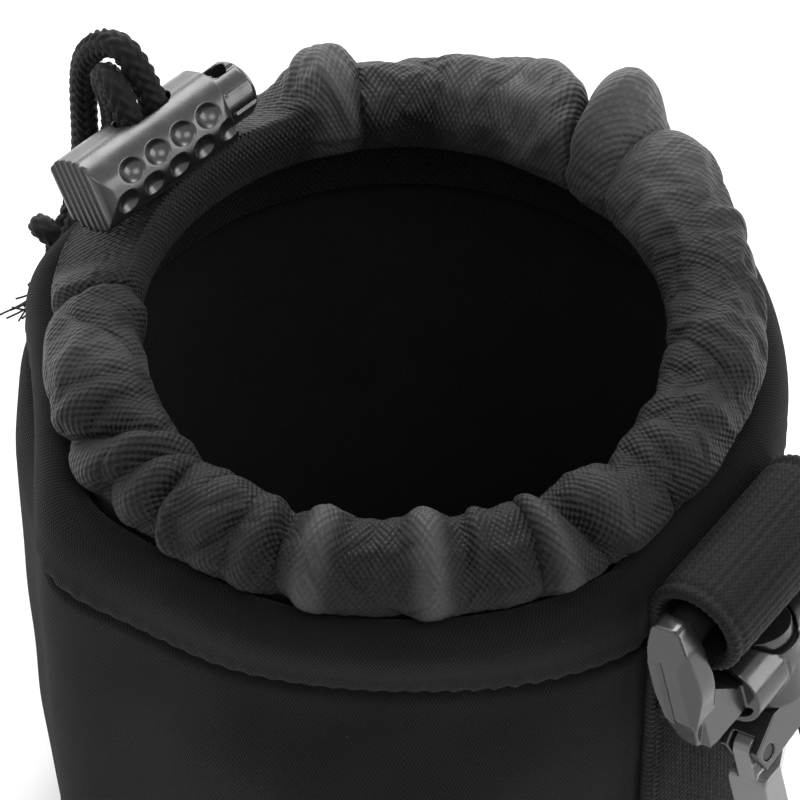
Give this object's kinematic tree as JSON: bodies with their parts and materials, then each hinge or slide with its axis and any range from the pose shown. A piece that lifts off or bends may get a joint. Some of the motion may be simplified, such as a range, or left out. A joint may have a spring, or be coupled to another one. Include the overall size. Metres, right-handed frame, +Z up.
{
  "type": "drawstring lens pouch",
  "caption": "Padded neoprene lens pouch with a gathered drawstring collar, a spring cord lock and a webbing strap that carries a swivel snap hook.",
  "frame": {"origin": "middle of the pouch's underside, on the surface that it stands on", "axes": "+Z up out of the mouth, -Y the front that the picture shows, +X to the right; the strap is at the right front and the cord lock at the left back"},
  "size_m": [0.1027, 0.0917, 0.1176],
  "materials": {
    "neoprene": "black jersey laminated on foam, matte",
    "nylon": "black coarse woven nylon with a satin sheen",
    "cord": "black braided cord",
    "webbing": "black ribbed nylon webbing",
    "lock_plastic": "black moulded plastic, satin",
    "hook_plastic": "black moulded plastic, semi-gloss",
    "steel": "plain spring steel"
  },
  "bodies": {
    "pouch": {"neoprene_wall": "neoprene", "base_panel": "neoprene", "nylon_collar": "nylon", "drawcord": "cord", "belt_webbing": "webbing"},
    "cord_lock": {"lock_barrel": "lock_plastic", "lock_spring": "steel", "cord_strand_front": "cord", "cord_strand_back": "cord", "cord_knot": "cord"},
    "lock_button": {"lock_plunger": "lock_plastic"},
    "hook_eye": {"hook_eye": "hook_plastic"},
    "snap_hook": {"hook_body": "hook_plastic", "gate_pin": "steel", "gate_spring": "steel"},
    "gate": {"hook_gate": "hook_plastic"}
  },
  "joints": [
    {"name": "lock_draw", "type": "slide", "parent": "pouch", "child": "cord_lock", "axis": [-0.3536, 0.3536, 0.866], "range_m": [0, 0.006]},
    {"name": "plunger_press", "type": "slide", "parent": "cord_lock", "child": "lock_button", "axis": [-0.7071, -0.7071, 0], "range_m": [0, 0.0024], "stiffness_N_per_m": 1200, "springref_m": -0.003, "deforming": ["lock_spring"]},
    {"name": "hook_eye_swing", "type": "hinge", "parent": "pouch", "child": "hook_eye", "pos_m": [0.03914, -0.02865, 0.0885], "axis": [-0.5906, -0.807, 0], "range_deg": [0, 120]},
    {"name": "hook_swivel", "type": "hinge", "parent": "hook_eye", "child": "snap_hook", "pos_m": [0.04248, -0.03109, 0.07304], "axis": [0.2089, -0.1529, -0.9659], "continuous": true},
    {"name": "gate_open", "type": "hinge", "parent": "snap_hook", "child": "gate", "pos_m": [0.04049, -0.03756, 0.06479], "axis": [0.7795, -0.5705, 0.2588], "range_deg": [0, 26], "stiffness_Nm_per_rad": 0.02, "springref_deg": -20.05, "deforming": ["gate_spring"]}
  ]
}
